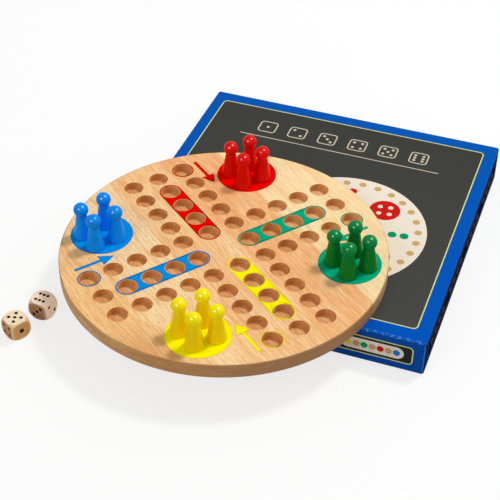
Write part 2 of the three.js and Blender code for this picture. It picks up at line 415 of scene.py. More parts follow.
@dataclass(frozen=True)
class DippedLacquer(Finish):
    """Turned beech, dipped in coloured gloss lacquer.

    The tone changes from the foot's to the ball's up the pawn, across a ragged border.
    All the gloss is in the clear coat, which gives small highlights with soft edges. Faint turning
    rings break them up a little.
    """

    name: str
    ball_tone: str
    foot_tone: str
    height: float = 30.5
    ring_spacing: float = 0.7

    def make(self) -> bpy.types.Material:
        """Makes the material.

        Returns:
            The new material.
        """
        coat = {"Coat_Weight": 1.0, "Coat_Roughness": 0.26, "Coat_IOR": 1.18}
        material, tree, shader = start_material(self.name, Roughness=0.5, Specular_IOR_Level=0.0, **coat)
        place = millimetres(tree)
        up = add_node(tree, "SeparateXYZ", {0: place}).outputs["Z"]
        patchy = add_node(tree, "TexNoise", {"Vector": place, "Scale": 0.22, "Detail": 2.0})
        ragged_shift = add_node(tree, "MapRange", {"Value": patchy.outputs["Fac"], 1: 0.2, 2: 0.8, 3: -3.0, 4: 3.0})
        level = add_node(tree, "Math", {0: up, 1: ragged_shift.outputs[0]}, operation="ADD")
        stops = [(0.5, self.foot_tone), (0.85, self.ball_tone)]
        share = add_node(tree, "MapRange", {"Value": level.outputs[0], 1: 0.0, 2: self.height})
        tone = add_node(tree, "ValToRGB", {0: share.outputs[0]}, stops=stops)
        scale = 0.314 / self.ring_spacing  # a wave of scale 1 has a ring every 0.314
        links = {"Vector": place, "Scale": scale, "Distortion": 1.5, "Detail": 1.0}
        rings = add_node(tree, "TexWave", links, bands_direction="Z")
        colour_and_relief(shader, tone.outputs[0], rings.outputs["Fac"], 0.04, 0.05)
        return material


@dataclass(frozen=True)
class TumbledBeech(Finish):
    """Pale beech, tumbled smooth with a little wax.

    Fine straight lines of growth run along Z, and the end grain that faces that way is the darkest.
    The edges are rubbed pale, which also paints the highlight that they catch. The four faces
    beside the top one take a painted side tone: painted shade on one die, painted light on the other.
    """

    name: str
    tone: str
    side_tone: str
    end_tone: str
    line_tone: str
    edge_tone: str
    up: tuple[float, float, float]
    line_size: tuple[float, float, float] = (0.9, 1.6, 14.0)
    edge_start: float = 5.8
    edge_end: float = 7.6

    def make(self) -> bpy.types.Material:
        """Makes the material.

        Returns:
            The new material.
        """
        material, tree, shader = start_material(self.name, Roughness=0.45, IOR=1.5, Specular_IOR_Level=0.15)
        place = millimetres(tree, self.line_size)
        links = {"Vector": place, "Scale": 1.0, "Detail": 4.0, "Roughness": 0.6}
        lines = add_node(tree, "TexNoise", links).outputs["Fac"]
        facing = add_node(tree, "TexCoord").outputs["Normal"]
        ways = {0: facing, 1: self.up}
        level = add_node(tree, "VectorMath", ways, operation="DOT_PRODUCT").outputs["Value"]
        along = add_node(tree, "SeparateXYZ", {0: facing}).outputs["Z"]
        end_grain = add_node(tree, "Math", {0: along}, operation="ABSOLUTE").outputs[0]

        # An edge is where the second largest of the three distances from the middle is large too.
        away = add_node(tree, "VectorMath", {0: millimetres(tree)}, operation="ABSOLUTE").outputs[0]
        axes = add_node(tree, "SeparateXYZ", {0: away}).outputs
        least = add_node(tree, "Math", {0: axes["X"], 1: axes["Y"]}, operation="MINIMUM").outputs[0]
        most = add_node(tree, "Math", {0: axes["X"], 1: axes["Y"]}, operation="MAXIMUM").outputs[0]
        other = add_node(tree, "Math", {0: most, 1: axes["Z"]}, operation="MINIMUM").outputs[0]
        second = add_node(tree, "Math", {0: least, 1: other}, operation="MAXIMUM").outputs[0]
        layers = (
            # painted shade and light: faces that do not look up take the side tone
            (level, 0.9, 0.2, 1.0, self.side_tone),
            (end_grain, 0.5, 0.95, 1.0, self.end_tone),
            (lines, 0.4, 0.7, 0.5, self.line_tone),
            # the pale edges: rubbed wear and a painted highlight
            (second, self.edge_start, self.edge_end, 0.6, self.edge_tone),
        )
        colour_and_relief(shader, lay_tones(tree, linear(self.tone), layers), lines, 0.15, 0.05)
        return material


@dataclass(frozen=True)
class PipPaint(Finish):
    """Black-brown paint, dabbed into drilled pips. It is uneven where it pools."""

    name: str = "pip paint on beech"
    tone: str = "#0c0603"
    thin_tone: str = "#2a160c"

    def make(self) -> bpy.types.Material:
        """Makes the material.

        Returns:
            The new material.
        """
        material, tree, shader = start_material(self.name, Roughness=0.5, IOR=1.5, Specular_IOR_Level=0.1)
        spots = add_node(tree, "TexNoise", {"Vector": millimetres(tree), "Scale": 1.8, "Detail": 2.0})
        stops = [(0.45, self.tone), (0.8, self.thin_tone)]
        tone = add_node(tree, "ValToRGB", {0: spots.outputs["Fac"]}, stops=stops)
        tree.links.new(tone.outputs[0], shader.inputs["Base Color"])
        return material


@dataclass(frozen=True)
class PrintedWrap(Finish):
    """Offset-printed wrap paper with a gloss varnish, glued over greyboard.

    The ink is even with a very fine mottle, and the board under it gives the gloss a slow waviness.
    Where the paper is rubbed, flakes of a paler tone lie along X and Y. On the lid's front edge
    they are partly wear and partly a painted highlight.
    """

    name: str
    tone: str
    varnish: float = 0.2
    # painted shade: a panel with a far tone darkens from front to back
    far_tone: str | None = None  # the tone at the back, for a panel whose tint runs from front to back
    rubbed_tone: str | None = None
    near_edge: float = -128.0
    far_edge: float = 128.0
    fibre_size: float = 0.8
    flake_size: float = 2.2222
    wave_size: float = 34.0

    def make(self) -> bpy.types.Material:
        """Makes the material.

        Returns:
            The new material.
        """
        coat = {"Coat_Weight": self.varnish, "Coat_Roughness": 0.16, "Coat_IOR": 1.3}
        material, tree, shader = start_material(
            "wrap paper, " + self.name, Roughness=0.5, Specular_IOR_Level=0.0, **coat
        )
        place = millimetres(tree)
        # painted shade: the tint runs from the near tone to the far one
        along = add_node(tree, "SeparateXYZ", {0: place}).outputs["Y"]
        share = add_node(tree, "MapRange", {"Value": along, 1: self.near_edge, 2: self.far_edge})
        stops = [(0.0, self.tone), (1.0, self.far_tone or self.tone)]
        tint = add_node(tree, "ValToRGB", {0: share.outputs[0]}, stops=stops)
        mottle = add_node(tree, "TexNoise", {"Vector": place, "Scale": 1 / self.fibre_size, "Detail": 3.0})
        depth = add_node(tree, "MapRange", {"Value": mottle.outputs["Fac"], 1: 0.3, 2: 0.7, 3: 0.92, 4: 1.08})
        scaled = {0: tint.outputs[0], "Scale": depth.outputs[0]}
        colour = add_node(tree, "VectorMath", scaled, operation="SCALE").outputs[0]
        if self.rubbed_tone is not None:
            links = {"Vector": place, "Scale": 1 / self.flake_size, "Detail": 3.0, "Roughness": 0.7}
            flakes = add_node(tree, "TexNoise", links).outputs["Fac"]
            colour = lay_tones(tree, colour, [(flakes, 0.5, 0.66, 0.7, self.rubbed_tone)])
        wave = add_node(tree, "TexNoise", {"Vector": place, "Scale": 1 / self.wave_size, "Detail": 1.0})
        slow = add_node(tree, "Bump", {"Height": wave.outputs["Fac"], "Strength": 0.5, "Distance": 0.5 * MM})
        colour_and_relief(shader, colour, mottle.outputs["Fac"], 0.12, 0.03, slow)
        return material


@dataclass(frozen=True)
class Greyboard(Finish):
    """Bare greyboard of recycled paper: matt and grey-beige, with darker and lighter fibres."""

    name: str = "greyboard, folded and glued"
    tone: str = "#b9b4a8"
    dark_tone: str = "#938d80"
    fibre_size: float = 0.9

    def make(self) -> bpy.types.Material:
        """Makes the material.

        Returns:
            The new material.
        """
        material, tree, shader = start_material(self.name, Roughness=0.85, IOR=1.45)
        place = millimetres(tree, (self.fibre_size, self.fibre_size * 2.5, self.fibre_size))
        links = {"Vector": place, "Scale": 1.0, "Detail": 5.0, "Roughness": 0.7}
        fibre = add_node(tree, "TexNoise", links).outputs["Fac"]
        tone = add_node(tree, "ValToRGB", {0: fibre}, stops=[(0.3, self.dark_tone), (0.62, self.tone)])
        colour_and_relief(shader, tone.outputs[0], fibre, 0.3, 0.06)
        return material


@dataclass(frozen=True)
class StudioPaper(Finish):
    """White seamless paper: matt, with the faintest unevenness.

    What is seen of it is a blend of its own lit tone and plain white, so that it stays white and
    keeps a light shadow. The light that it throws back on the object is that of a greyer floor,
    so that the object's sides keep their depth.
    """

    name: str = "white background paper"
    tone: str = "#fdfdfd"
    shade_tone: str = "#fbfbfb"
    bounce_tone: str = "#bcbcbc"
    white_share: float = 0.75
    cloud_size: float = 250.0

    def make(self) -> bpy.types.Material:
        """Makes the material.

        Returns:
            The new material.
        """
        material, tree, shader = start_material(self.name, Roughness=0.9, Specular_IOR_Level=0.0)
        links = {"Vector": millimetres(tree), "Scale": 1 / self.cloud_size, "Detail": 1.0}
        cloud = add_node(tree, "TexNoise", links).outputs["Fac"]
        tone = add_node(tree, "ValToRGB", {0: cloud}, stops=[(0.3, self.shade_tone), (0.7, self.tone)])
        rays = add_node(tree, "LightPath")
        seen = rays.outputs["Is Camera Ray"]
        for kind in ("Is Glossy Ray", "Is Transmission Ray"):
            seen = add_node(tree, "Math", {0: seen, 1: rays.outputs[kind]}, operation="MAXIMUM").outputs[0]
        mixed = {"Factor": seen, "A": linear(self.bounce_tone), "B": tone.outputs[0]}
        colour = add_node(tree, "Mix", mixed, data_type="RGBA")
        tree.links.new(colour.outputs["Result"], shader.inputs["Base Color"])
        white = add_node(tree, "Emission", {"Color": linear("#ffffff"), "Strength": 1.0})
        share = add_node(tree, "Math", {0: seen, 1: self.white_share}, operation="MULTIPLY")
        blend = add_node(tree, "MixShader", {0: share.outputs[0], 1: shader.outputs[0], 2: white.outputs[0]})
        tree.links.new(blend.outputs[0], tree.nodes["Material Output"].inputs["Surface"])
        return material


BOARD_FACE = BeechStaves(
    name="beech staves, sanded and waxed",
    tones=("#fdcb82", "#ffe2ac", "#fdc98c", "#fab674", "#ffe8b0", "#ffe4ac"),
    pale_tone="#ffe0b0",
    deep_tone="#f8b87a",
    line_tone="#e0a066",
    end_grain_tone="#e6a668",
)
# The rim's tones are darker than the face's: painted shade on the upright rim.
SHADED_BOARD_RIM = BeechStaves(
    name="beech staves, turned and sanded rim",
    tones=("#d8a468", "#ce9a60", "#c8945a", "#c28e56", "#eac896", "#e6c290"),
    pale_tone="#e2b880",
    deep_tone="#b88450",
    line_tone="#ac7846",
    end_grain_tone="#a8784c",
    roughness=0.55,
    patch_size=(40.0, 40.0, 8.0),
    streak_size=(34.0, 34.0, 2.6),
    line_size=(22.0, 22.0, 1.1),
    fleck_size=(2.6, 2.6, 0.7),
)
# The holes' tones are darker than the face's: partly the open end grain, partly painted shade in the holes.
SHADED_BOARD_DRILLED = BeechStaves(
    name="beech staves, drilled",
    tones=("#efb674", "#eeb474", "#ecb072", "#e8a868", "#f0be84", "#f0be84"),
    pale_tone="#f6c48a",
    deep_tone="#e09e5a",
    line_tone="#cc8a4a",
    end_grain_tone="#c07c3e",
    roughness=0.6,
    streak_size=(2.4, 20.0, 6.0),
    line_size=(1.1, 10.0, 2.4),
)
INKS = {
    Side.GREEN: ScreenInk("green screen ink", "#00ac80", "#009c72"),
    Side.RED: ScreenInk("red screen ink", "#ee0400", "#da0000"),
    Side.BLUE: ScreenInk("blue screen ink", "#0092e4", "#0086d4"),
    Side.YELLOW: ScreenInk("yellow screen ink", "#fff800", "#f6e800"),
}
INK_EDGES = {
    Side.GREEN: ScreenInk("green screen ink, built-up edge", "#008c66", "#007c5a"),
    Side.RED: ScreenInk("red screen ink, built-up edge", "#be0000", "#aa0000"),
    Side.BLUE: ScreenInk("blue screen ink, built-up edge", "#006cb4", "#0062a4"),
    Side.YELLOW: ScreenInk("yellow screen ink, built-up edge", "#ecdc00", "#dccc00"),
}
LACQUERS = {
    Side.GREEN: DippedLacquer("green gloss lacquer on turned beech", "#008640", "#007a24"),
    Side.RED: DippedLacquer("red gloss lacquer on turned beech", "#e80a06", "#e00800"),
    Side.BLUE: DippedLacquer("blue gloss lacquer on turned beech", "#008ef2", "#0092fc"),
    Side.YELLOW: DippedLacquer("yellow gloss lacquer on turned beech", "#ffee00", "#fad800"),
}
DIE_BEECH = {
    "die_front": TumbledBeech(
        name="tumbled beech, warm",
        tone="#ffeecc",
        # painted shade: the side faces are darker than the top
        side_tone="#f2b068",
        end_tone="#b87c3e",
        line_tone="#dca45e",
        edge_tone="#fde8c0",
        up=(0, -1, 0),
    ),
    "die_back": TumbledBeech(
        name="tumbled beech, pale",
        tone="#f6e0cc",
        # painted light: the side faces are lighter than the top
        side_tone="#ffe8c6",
        end_tone="#b07a4e",
        line_tone="#dcae86",
        edge_tone="#f2dcc4",
        up=(-1, 0, 0),
    ),
}
PIP_PAINT = PipPaint()
# The top's blue and charcoal darken towards the back: painted shade.
BLUE_PRINT = PrintedWrap("printed blue", "#0055bc", varnish=0.15, far_tone="#0056b2")
BLUE_WORN_HIGHLIT_EDGE_PRINT = PrintedWrap("printed blue, rubbed edge with painted highlight", "#0a5cc4", varnish=0.25, rubbed_tone="#8cc0f0")
# The sides' blue and charcoal are darker than the top's: painted shade on the upright sides.
BLUE_SHADED_SIDE_PRINT = PrintedWrap("printed blue, sides, in painted shade", "#064eaa", varnish=0.1)
DARK_PRINT = PrintedWrap("printed charcoal", "#494a47", varnish=0.3, far_tone="#3b3c38")
DARK_SHADED_SIDE_PRINT = PrintedWrap("printed charcoal, sides, in painted shade", "#2c2e2c", varnish=0.1)
CREAM_PRINT = PrintedWrap("printed cream yellow", "#dfe48c")
SAND_PRINT = PrintedWrap("printed sand", "#d4c6ae")
PALE_PRINT = PrintedWrap("printed ivory", "#f0e6d4")
TAN_PRINT = PrintedWrap("printed tan", "#cfa870")
DOT_PRINTS = {
    Side.GREEN: PrintedWrap("printed green", "#009a68"),
    Side.RED: PrintedWrap("printed red", "#d01a16"),
    Side.BLUE: PrintedWrap("printed light blue", "#1a7cd0"),
    Side.YELLOW: PrintedWrap("printed yellow", "#f0da30"),
}
# painted highlight: the paler blue where the wrap rounds an upright corner
FOLD_HIGHLIGHT_PRINT = PrintedWrap("printed blue, painted highlight on the fold", "#3d86d8", varnish=0.3)
SEAM_SHADE = PrintedWrap("shaded in the corner seam", "#06182f", varnish=0.0)


@dataclass(frozen=True)
class SidePrints:
    """The inks on one side of the lid."""

    ground: PrintedWrap
    line: PrintedWrap
    panel: PrintedWrap
    track: PrintedWrap
    between: PrintedWrap
    dots: tuple[PrintedWrap, ...]


LIT_SIDE = SidePrints(
    ground=BLUE_SHADED_SIDE_PRINT,
    line=CREAM_PRINT,
    panel=DARK_SHADED_SIDE_PRINT,
    track=PALE_PRINT,
    between=TAN_PRINT,
    dots=tuple(DOT_PRINTS.values()),
)
# The right side's prints are darker copies of the others: painted shade on that side.
SHADED_RIGHT_SIDE = SidePrints(
    ground=PrintedWrap("printed deep blue, in painted shade", "#062e72", varnish=0.0),
    line=PrintedWrap("printed olive, in painted shade", "#565a3e", varnish=0.0),
    panel=PrintedWrap("printed black, in painted shade", "#141612", varnish=0.0),
    track=PrintedWrap("printed umber, in painted shade", "#221c12", varnish=0.0),
    between=PrintedWrap("printed brown, in painted shade", "#44331f", varnish=0.0),
    dots=(PrintedWrap("printed sienna, in painted shade", "#7c5836", varnish=0.0),),
)
GREYBOARD = Greyboard()
FLOOR = StudioPaper()


def arc(centre: Point, radius: float, start: float, end: float, steps: int) -> Outline:
    """Points along an arc.

    Args:
        centre: The arc's centre.
        radius: Its radius.
        start: The angle where it starts, in radians.
        end: The angle where it ends.
        steps: How many steps it has.

    Returns:
        Its points, both ends included.
    """
    angles = [start + (end - start) * i / steps for i in range(steps + 1)]
    return [(centre[0] + radius * math.cos(a), centre[1] + radius * math.sin(a)) for a in angles]


def circle(centre: Point, radius: float, sides: int) -> Outline:
    """A full circle, as an outline with so many sides."""
    return arc(centre, radius, 0, FULL_TURN, sides)[:sides]


def rounded_box(centre: Point, half: Point, radius: float, steps: int) -> Outline:
    """A rectangle with round corners.

    Args:
        centre: Its centre.
        half: Half its width and half its height.
        radius: The radius of its corners.
        steps: How many steps each corner has.

    Returns:
        Its outline, anticlockwise.
    """
    outline: Outline = []
    for quarter, (x, y) in enumerate(((1, 1), (-1, 1), (-1, -1), (1, -1))):
        corner = (centre[0] + x * (half[0] - radius), centre[1] + y * (half[1] - radius))
        start = quarter * QUARTER_TURN
        outline += arc(corner, radius, start, start + QUARTER_TURN, steps)
    return outline


def capsule(start: Point, end: Point, radius: float, steps: int) -> Outline:
    """A slot shape round two points.

    Args:
        start: The middle of one round end.
        end: The middle of the other.
        radius: The radius of both ends.
        steps: How many steps each end has.

    Returns:
        Its outline, anticlockwise.
    """
    heading = math.atan2(end[1] - start[1], end[0] - start[0])
    first = arc(end, radius, heading - QUARTER_TURN, heading + QUARTER_TURN, steps)
    second = arc(start, radius, heading + QUARTER_TURN, heading + 3 * QUARTER_TURN, steps)
    return first + second


def turned(outline: Outline, quarter: int) -> Outline:
    """Turns an outline about the origin.

    Args:
        outline: The outline.
        quarter: How many quarter turns it makes.

    Returns:
        The turned outline.
    """
    for _ in range(quarter):
        outline = [(-y, x) for x, y in outline]
    return outline


class Shape:
    """A mesh under construction, with its sizes in millimetres and one material for each face."""

    def __init__(self, name: str) -> None:
        """Starts an empty mesh that will have this name."""
        self.name = name
        self.mesh = bmesh.new()
        self.finishes: list[Finish] = []

    def index(self, finish: Finish) -> int:
        """Gives the number of a finish among the mesh's own, and adds it if it is new.

        Args:
            finish: The finish.

        Returns:
            Its number, from 0.
        """
        if finish not in self.finishes:
            self.finishes.append(finish)
        return self.finishes.index(finish)

    def ring(self, outline: Outline, height: float) -> list[bmesh.types.BMVert]:
        """Adds a ring of points at a height."""
        return [self.mesh.verts.new((x * MM, y * MM, height * MM)) for x, y in outline]

    def points(self, places: Sequence[Vector]) -> list[bmesh.types.BMVert]:
        """Adds points at places given in millimetres."""
        return [self.mesh.verts.new(place * MM) for place in places]

    def join(self, lower: list, upper: list, finish: Finish | Callable, smooth: bool = True) -> None:
        """Joins two rings of as many points with a band of faces.

        Args:
            lower: The ring that lies below, anticlockwise seen from outside above.
            upper: The ring above it.
            finish: What the band is made of, or what gives that for a face's number, None to leave it out.
            smooth: Whether it is shaded as a curved surface.
        """
        for i in range(len(lower)):
            own = finish if isinstance(finish, Finish) else finish(i)
            if own is None:
                continue
            j = (i + 1) % len(lower)
            face = self.mesh.faces.new((lower[i], lower[j], upper[j], upper[i]))
            face.smooth = smooth
            face.material_index = self.index(own)

    def close(self, ring: list, tip: tuple[float, float, float], finish: Finish, smooth: bool) -> None:
        """Closes a ring with a fan of faces that meet in a tip.

        Args:
            ring: The ring.
            tip: The tip's place, in millimetres.
            finish: What the faces are made of.
            smooth: Whether they are shaded as a curved surface.
        """
        (point,) = self.points([Vector(tip)])
        for first, second in zip(ring, ring[1:] + ring[:1], strict=True):
            face = self.mesh.faces.new((first, second, point))
            face.smooth = smooth
            face.material_index = self.index(finish)

    def fill(self, outer: list, holes: Sequence[list], finish: Finish, facing: Vector) -> list:
        """Fills a flat outline that may have holes.

        Args:
            outer: The points of the outline.
            holes: The points of each hole.
            finish: What the faces are made of.
            facing: The direction that the faces look in.

        Returns:
            The new faces.
        """
        loops = [outer, *holes]
        points = [vert for loop in loops for vert in loop]
        flat = [[flatten(vert.co, facing) for vert in loop] for loop in loops]
        number = self.index(finish)
        faces = []
        for corners in tessellate_polygon(flat):
            verts = [points[c] for c in corners]
            face = self.mesh.faces.new(verts)
            face.normal_update()
            if face.normal.dot(facing) < 0:
                face.normal_flip()
            face.material_index = number
            faces.append(face)
        return faces

    def finish_mesh(self, turn: float = 0.0) -> bpy.types.Mesh:
        """Makes a mesh with its materials from what was built.

        Args:
            turn: How far it is turned about Z, in radians.

        Returns:
            The mesh.
        """
        bmesh.ops.rotate(self.mesh, verts=self.mesh.verts, matrix=Matrix.Rotation(turn, 3, "Z"))
        mesh = bpy.data.meshes.new(self.name)
        self.mesh.to_mesh(mesh)
        self.mesh.free()
        for finish in self.finishes:
            mesh.materials.append(finish.material())
        return mesh


def flatten(place: Vector, facing: Vector) -> Vector:
    """Lays a point of a flat face into that face's own two directions, for filling.

    Args:
        place: The point, in metres.
        facing: The direction that the face looks in.

    Returns:
        The point in the face's plane, in millimetres.
    """
    side = Vector((0, 1, 0)) if abs(facing.x) > 0.5 else Vector((1, 0, 0))
    rise = facing.cross(side)
    return Vector((place.dot(side), place.dot(rise), 0)) / MM


def add_object(name: str, mesh: bpy.types.Mesh, place: Matrix) -> bpy.types.Object:
    """Puts a mesh in the scene.

    Args:
        name: The new object's name.
        mesh: Its mesh.
        place: Its place in the row frame, in metres.

    Returns:
        The new object.
    """
    piece = bpy.data.objects.new(name, mesh)
    bpy.context.scene.collection.objects.link(piece)
    piece.matrix_world = place
    return piece


def settle(piece: bpy.types.Object, body: str, nodes: Sequence[str]) -> None:
    """Makes a piece ride on a body in place of CAD nodes.

    Args:
        piece: The new piece.
        body: The body that carries it.
        nodes: The CAD nodes that it stands for.
    """
    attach(piece, body)
    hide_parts(*nodes)
    log.info("%s stands for %s on %s", piece.name, ", ".join(nodes), body)


def middle(node: str) -> Vector:
    """The middle of a CAD node's box, in metres."""
    low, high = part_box(node)
    return (low + high) / 2


@dataclass
class Board:
    """The round board: edge-glued staves with 56 blind holes and the printed fields."""

    hole_pitch: float = 20.0
    cross_offset: float = 22.7
    arm_rows: int = 5
    goal_rows: int = 4
    hole_radius: float = 7.6
    hole_depth: float = 6.0
    hole_mouth_rounding: float = 0.15
    floor_rounding: float = 0.7
    centre_mark_radius: float = 0.8
    centre_mark_depth: float = 0.5
    edge_rounding: float = 0.8
    ink_backoff: float = 0.35
    ink_edge: float = 0.4
    goal_border: float = 1.4
    start_border: float = 1.2
    arrow_overhang: float = 4.9
    arrow_length: float = 32.4
    arrow_head_length: float = 10.8
    arrow_head_width: float = 11.2
    arrow_shaft_width: float = 2.6
    rim_sides: int = 288
    hole_sides: int = 48
    rounding_steps: int = 5

    def __post_init__(self) -> None:
        """Reads the board's place, turn and main sizes from the frame."""
        low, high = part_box("board")
        self.centre = (low + high) / 2
        self.floor = low.z
        self.radius = (high.x - low.x) / 2 / MM
        self.thickness = (high.z - low.z) / MM
        print_low, print_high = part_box("home_disc_green")
        self.ink_thickness = (print_high.z - print_low.z) / MM
        self.home_radius = (print_high.x - print_low.x) / 2 / MM
        back = Matrix.Rotation(-BOARD_TURN, 3, "Z")
        home = back @ (middle("home_disc_green") - self.centre)
        self.home = (home.x / MM, home.y / MM)
        arrow = back @ (middle("start_arrow_green") - self.centre)
        self.arrow_lane = arrow.y / MM

    def row(self, index: int) -> float:
        """How far a row of holes lies from the board's middle, counted from 0."""
        return self.cross_offset + index * self.hole_pitch

    def place(self, height: float) -> Matrix:
        """The board's axis at a height above its underside, in the row frame."""
        return Matrix.Translation((self.centre.x, self.centre.y, self.floor + height * MM))

    def hole_places(self) -> list[Point]:
        """Works out where the holes lie.

        Returns:
            The middles of all 56.
        """
        arm: Outline = []
        for row in range(self.arm_rows):
            arm += [(self.row(row), -self.cross_offset), (self.row(row), 0.0)]
            if row > 0:
                arm.append((self.row(row), self.cross_offset))
        return [point for side in Side for point in turned(arm, side.quarter)]

    def drill(self, shape: Shape, spot: Point) -> list[bmesh.types.BMVert]:
        """Adds one blind hole with a softly rounded mouth, a filleted floor and a centre mark.

        Args:
            shape: The board's mesh.
            spot: The hole's middle.

        Returns:
            The ring of the hole's mouth, which bounds the board's top.
        """
        floor = self.thickness - self.hole_depth
        profile: list[Point] = [(self.centre_mark_radius, floor)]
        for x, y in arc((0, 0), self.floor_rounding, -QUARTER_TURN, 0, self.rounding_steps):
            profile.append((self.hole_radius - self.floor_rounding + x, floor + self.floor_rounding + y))
        for x, y in arc((0, 0), self.hole_mouth_rounding, math.pi, QUARTER_TURN, self.rounding_steps):
            rim = self.hole_radius + self.hole_mouth_rounding
            profile.append((rim + x, self.thickness - self.hole_mouth_rounding + y))
        rings = [shape.ring(circle(spot, radius, self.hole_sides), height) for radius, height in profile]
        for number, (inner, outer) in enumerate(zip(rings, rings[1:], strict=False)):
            shape.join(outer, inner, SHADED_BOARD_DRILLED, smooth=number > 0)
        shape.close(rings[0], (*spot, floor - self.centre_mark_depth), SHADED_BOARD_DRILLED, smooth=False)
        return rings[-1]

    def build_wood(self) -> None:
        """Builds the wooden board and lets it ride in place of its node."""
        shape = Shape("board_wood")
        inner = self.radius - self.edge_rounding
        low = arc((inner, self.edge_rounding), self.edge_rounding, -QUARTER_TURN, 0, self.rounding_steps)
        upper = self.thickness - self.edge_rounding
        high = arc((inner, upper), self.edge_rounding, 0, QUARTER_TURN, self.rounding_steps)
        rings = [shape.ring(circle((0, 0), radius, self.rim_sides), height) for radius, height in low + high]
        for lower, upper in zip(rings, rings[1:], strict=False):
            shape.join(lower, upper, SHADED_BOARD_RIM)
        mouths = [self.drill(shape, spot) for spot in self.hole_places()]
        shape.fill(rings[-1], mouths, BOARD_FACE, Vector((0, 0, 1)))
        shape.fill(rings[0], [], BOARD_FACE, Vector((0, 0, -1)))
        piece = add_object("board_wood", shape.finish_mesh(BOARD_TURN), self.place(0))
        settle(piece, "board", ["board"])

    def print_outlines(self) -> dict[str, tuple[Outline, list[Outline]]]:
        """Works out the four prints of the first side.

        Returns:
            The outline and the holes of each print, by its name.
        """
        last = self.row(self.arm_rows - 1)
        bare = self.hole_radius + self.ink_backoff
        goals = [(self.row(i), 0.0) for i in range(self.goal_rows)]
        start = (last, -self.cross_offset)
        tail = last + self.arrow_overhang
        tip = tail - self.arrow_length
        barb = tip + self.arrow_head_length
        lane, head, shaft = self.arrow_lane, self.arrow_head_width / 2, self.arrow_shaft_width / 2
        arrow = [
            (tip, lane),
            (barb, lane - head),
            (barb, lane - shaft),
            (tail, lane - shaft),
            (tail, lane + shaft),
            (barb, lane + shaft),
            (barb, lane + head),
        ]
        strip = capsule(goals[0], goals[-1], self.hole_radius + self.goal_border, self.hole_sides // 2)
        return {
            "home_disc": (circle(self.home, self.home_radius, 3 * self.hole_sides), []),
            "goal_strip": (strip, [circle(goal, bare, self.hole_sides) for goal in goals]),
            "start_ring": (
                circle(start, self.hole_radius + self.start_border, self.hole_sides),
                [circle(start, bare, self.hole_sides)],
            ),
            "start_arrow": (arrow, []),
        }

    def build_prints(self) -> None:
        """Builds the sixteen printed fields, each a film with a slightly darker built-up edge."""
        for side in Side:
            for label, (outline, holes) in self.print_outlines().items():
                name = f"{label}_{side.label}"
                shape = Shape(name + "_ink")
                loops = [turned(outline, side.quarter)] + [turned(hole, side.quarter) for hole in holes]
                lower = [shape.ring(loop, 0) for loop in loops]
                upper = [shape.ring(loop, self.ink_thickness) for loop in loops]
                for number, (below, above) in enumerate(zip(lower, upper, strict=True)):
                    pair = (below, above) if number == 0 else (above, below)
                    shape.join(*pair, INK_EDGES[side], smooth=False)
                top = shape.fill(upper[0], upper[1:], INKS[side], Vector((0, 0, 1)))
                shape.fill(lower[0], lower[1:], INKS[side], Vector((0, 0, -1)))
                edge = self.ink_edge * MM
                ways = {"use_even_offset": True, "use_boundary": True}
                border = bmesh.ops.inset_region(shape.mesh, faces=top, thickness=edge, **ways)
                for face in border["faces"]:
                    face.material_index = shape.index(INK_EDGES[side])
                piece = add_object(name + "_ink", shape.finish_mesh(BOARD_TURN), self.place(self.thickness))
                settle(piece, "board", [name])

    def build(self) -> None:
        """Builds the wood and the prints."""
        self.build_wood()
        self.build_prints()


@dataclass
class Pawn:
    """A turned pawn: a thin foot, a cone, a tight neck and a ball."""

    ball_radius: float = 5.7
    neck_radius: float = 4.0
    foot_height: float = 1.2
    foot_rounding: float = 0.5
    flare_power: float = 1.1  # above 1 the cone's flanks are hollow
    sides: int = 96
    cone_steps: int = 24
    ball_steps: int = 28
    rounding_steps: int = 4
    spin: float = 1.3  # radians from one pawn of a colour to the next, so that no two look the same

    def profile(self, base_radius: float, height: float) -> list[Point]:
        """The pawn's half outline, from its underside up.

        Args:
            base_radius: The radius of the foot.
            height: The pawn's height.

        Returns:
            Radius and height of each point.
        """
        inner = base_radius - self.foot_rounding
        foot = (inner, self.foot_rounding)
        points = [(inner, 0.0)]
        points += arc(foot, self.foot_rounding, -QUARTER_TURN, 0, self.rounding_steps)[1:]
        ball_height = height - self.ball_radius
        neck_angle = math.asin(self.neck_radius / self.ball_radius)
        neck_height = ball_height - self.ball_radius * math.cos(neck_angle)
        for i in range(self.cone_steps + 1):
            rise = i / self.cone_steps
            radius = self.neck_radius + (base_radius - self.neck_radius) * (1 - rise) ** self.flare_power
            points.append((radius, self.foot_height + (neck_height - self.foot_height) * rise))
        for i in range(1, self.ball_steps):
            angle = neck_angle + (math.pi - neck_angle) * i / self.ball_steps
            radius = self.ball_radius * math.sin(angle)
            points.append((radius, ball_height - self.ball_radius * math.cos(angle)))
        return points

    def mesh(self, side: Side, base_radius: float, height: float) -> bpy.types.Mesh:
        """The mesh that the four pawns of a side share.

        Args:
            side: Whose pawns they are.
            base_radius: The radius of the foot.
            height: The pawn's height.

        Returns:
            The mesh, which stands on the plane z = 0.
        """
        shape = Shape(f"pawn_{side.label}_turned")
        lacquer = LACQUERS[side]
        rings = [shape.ring(circle((0, 0), r, self.sides), z) for r, z in self.profile(base_radius, height)]
        for lower, upper in zip(rings, rings[1:], strict=False):
            shape.join(lower, upper, lacquer)
        shape.fill(rings[0], [], lacquer, Vector((0, 0, -1)))
        shape.close(rings[-1], (0, 0, height), lacquer, smooth=True)
        return shape.finish_mesh()

    def build(self) -> None:
        """Stands all sixteen pawns where their nodes stand."""
        for side in Side:
            nodes = [f"pawn_{side.label}_{number}" for number in range(1, 5)]
            low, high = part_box(nodes[0])
            mesh = self.mesh(side, (high.x - low.x) / 2 / MM, (high.z - low.z) / MM)
            for number, node in enumerate(nodes):
                low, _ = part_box(node)
                spot = middle(node)
                turn = Matrix.Rotation(number * self.spin, 4, "Z")
                place = Matrix.Translation((spot.x, spot.y, low.z)) @ turn
                piece = add_object(node + "_turned", mesh, place)
                settle(piece, node, [node])


